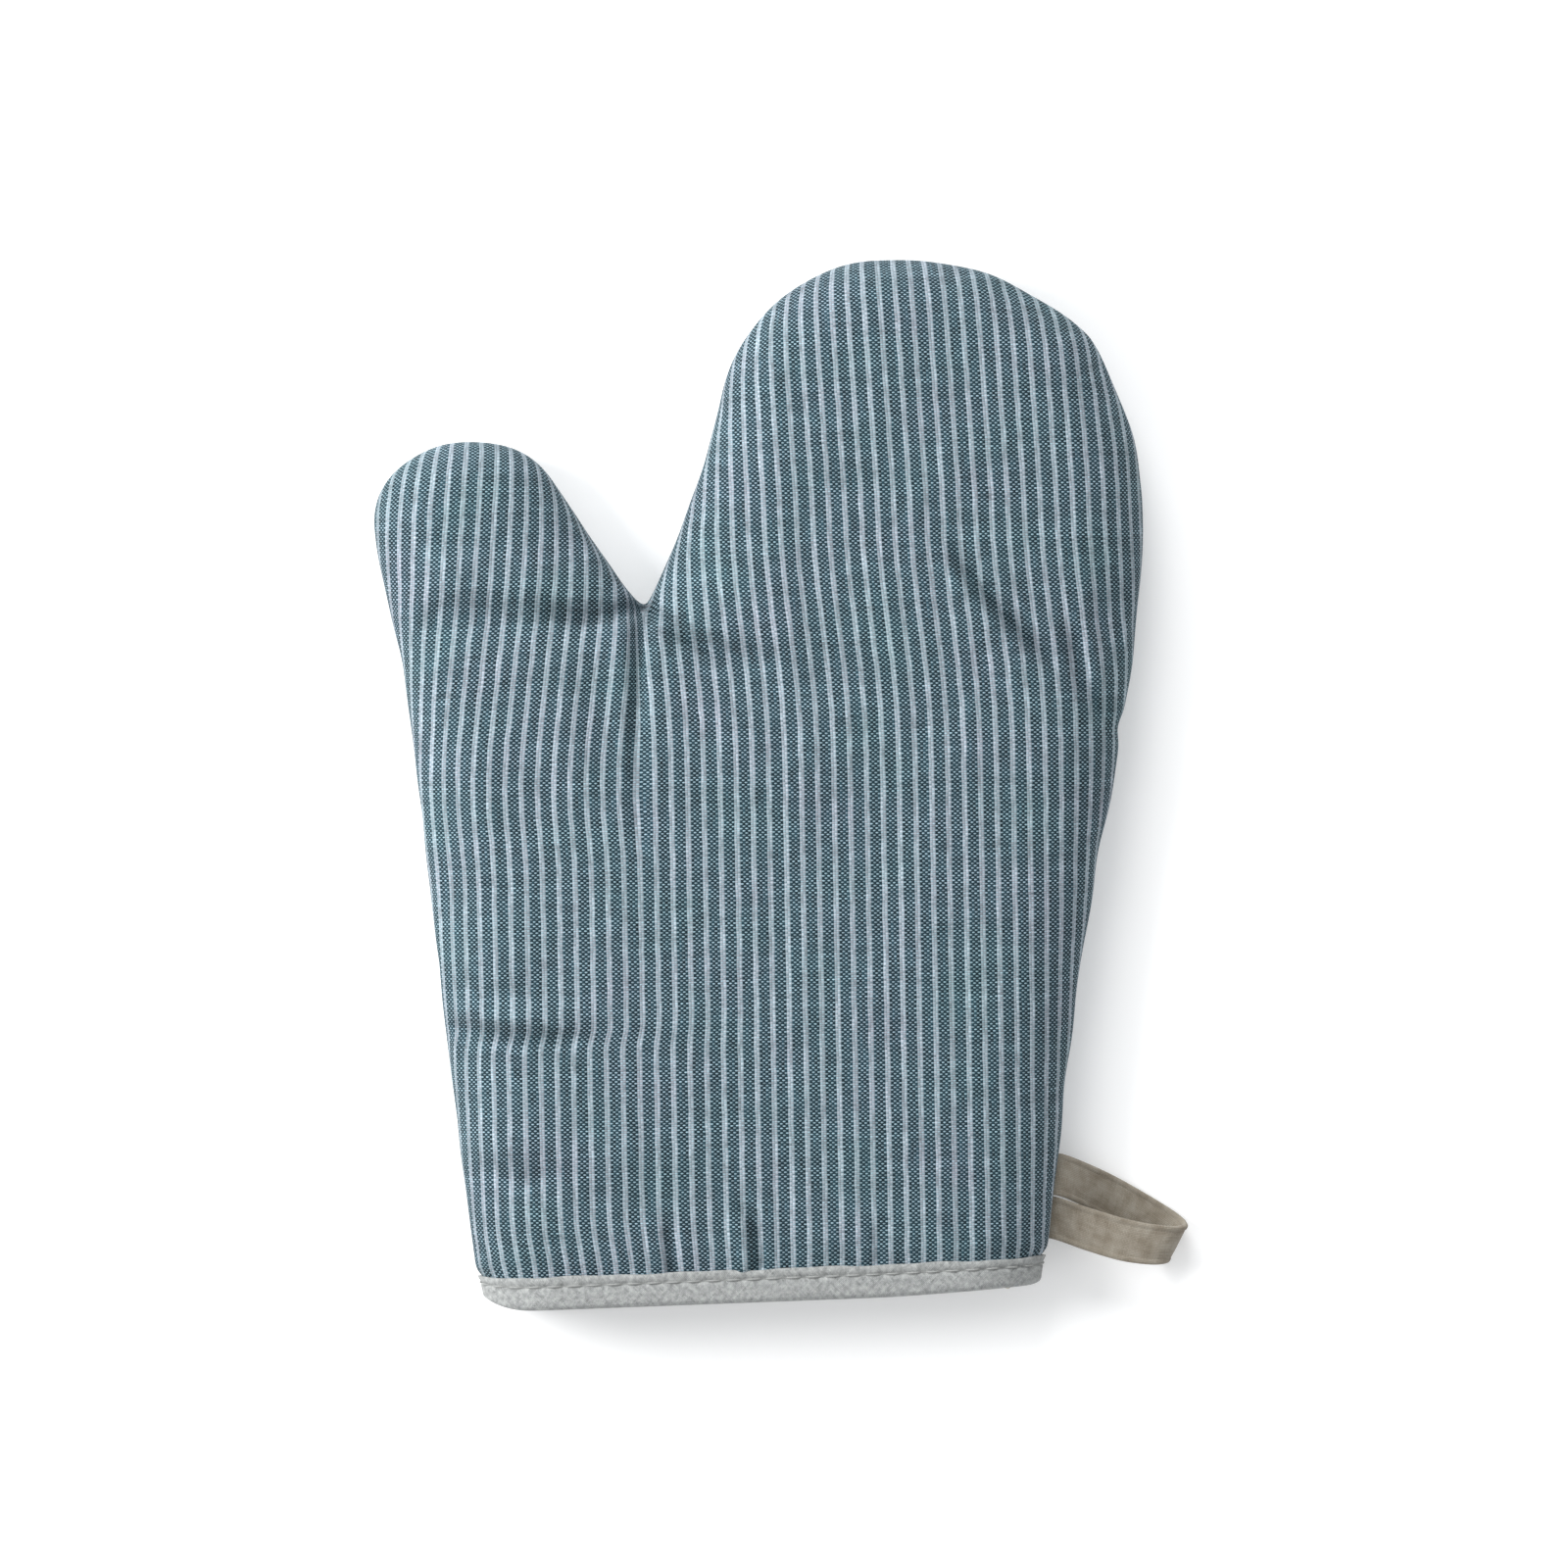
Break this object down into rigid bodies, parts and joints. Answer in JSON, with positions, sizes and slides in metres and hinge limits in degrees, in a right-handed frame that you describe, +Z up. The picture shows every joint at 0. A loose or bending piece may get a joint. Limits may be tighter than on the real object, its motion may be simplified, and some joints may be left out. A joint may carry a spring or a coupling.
{
  "type": "oven mitt",
  "caption": "Padded oven mitt in striped cotton with one thumb, a bound wrist opening and a folded tape loop sewn into the side seam for hanging.",
  "frame": {"origin": "centre of the palm on the flat underside that lies on the table", "axes": "+Y from the wrist to the fingertips, +X from the thumb's side to the hanging loop's side, +Z up from the table through the mitt"},
  "size_m": [0.2023, 0.266, 0.0283],
  "materials": {
    "striped_cotton": "plain-weave cotton, blue-grey with narrow white warp stripes, matt",
    "wadding": "needled white batting, matt",
    "lining_cotton": "natural plain-weave cotton, matt",
    "binding_tape": "pale grey cotton bias tape, matt",
    "thread": "spun sewing thread",
    "loop_tape": "greige cotton tape, folded and pressed, matt"
  },
  "bodies": {
    "mitt": {"palm_shell": "striped_cotton", "back_shell": "striped_cotton", "palm_wadding": "wadding", "back_wadding": "wadding", "palm_lining": "lining_cotton", "back_lining": "lining_cotton", "wrist_binding": "binding_tape", "shell_seam_thread": "thread", "lining_seam_thread": "thread", "binding_topstitch": "thread", "binding_bobbin_thread": "thread", "loop_tail_lower": "loop_tape", "loop_tail_upper": "loop_tape"},
    "loop": {"hanging_loop": "loop_tape"}
  },
  "joints": [
    {"name": "loop_fold", "type": "hinge", "parent": "mitt", "child": "loop", "pos_m": [0.07687, -0.08468, 0.012], "axis": [0.1483, 0.9889, 0], "range_deg": [-100, 60]}
  ]
}
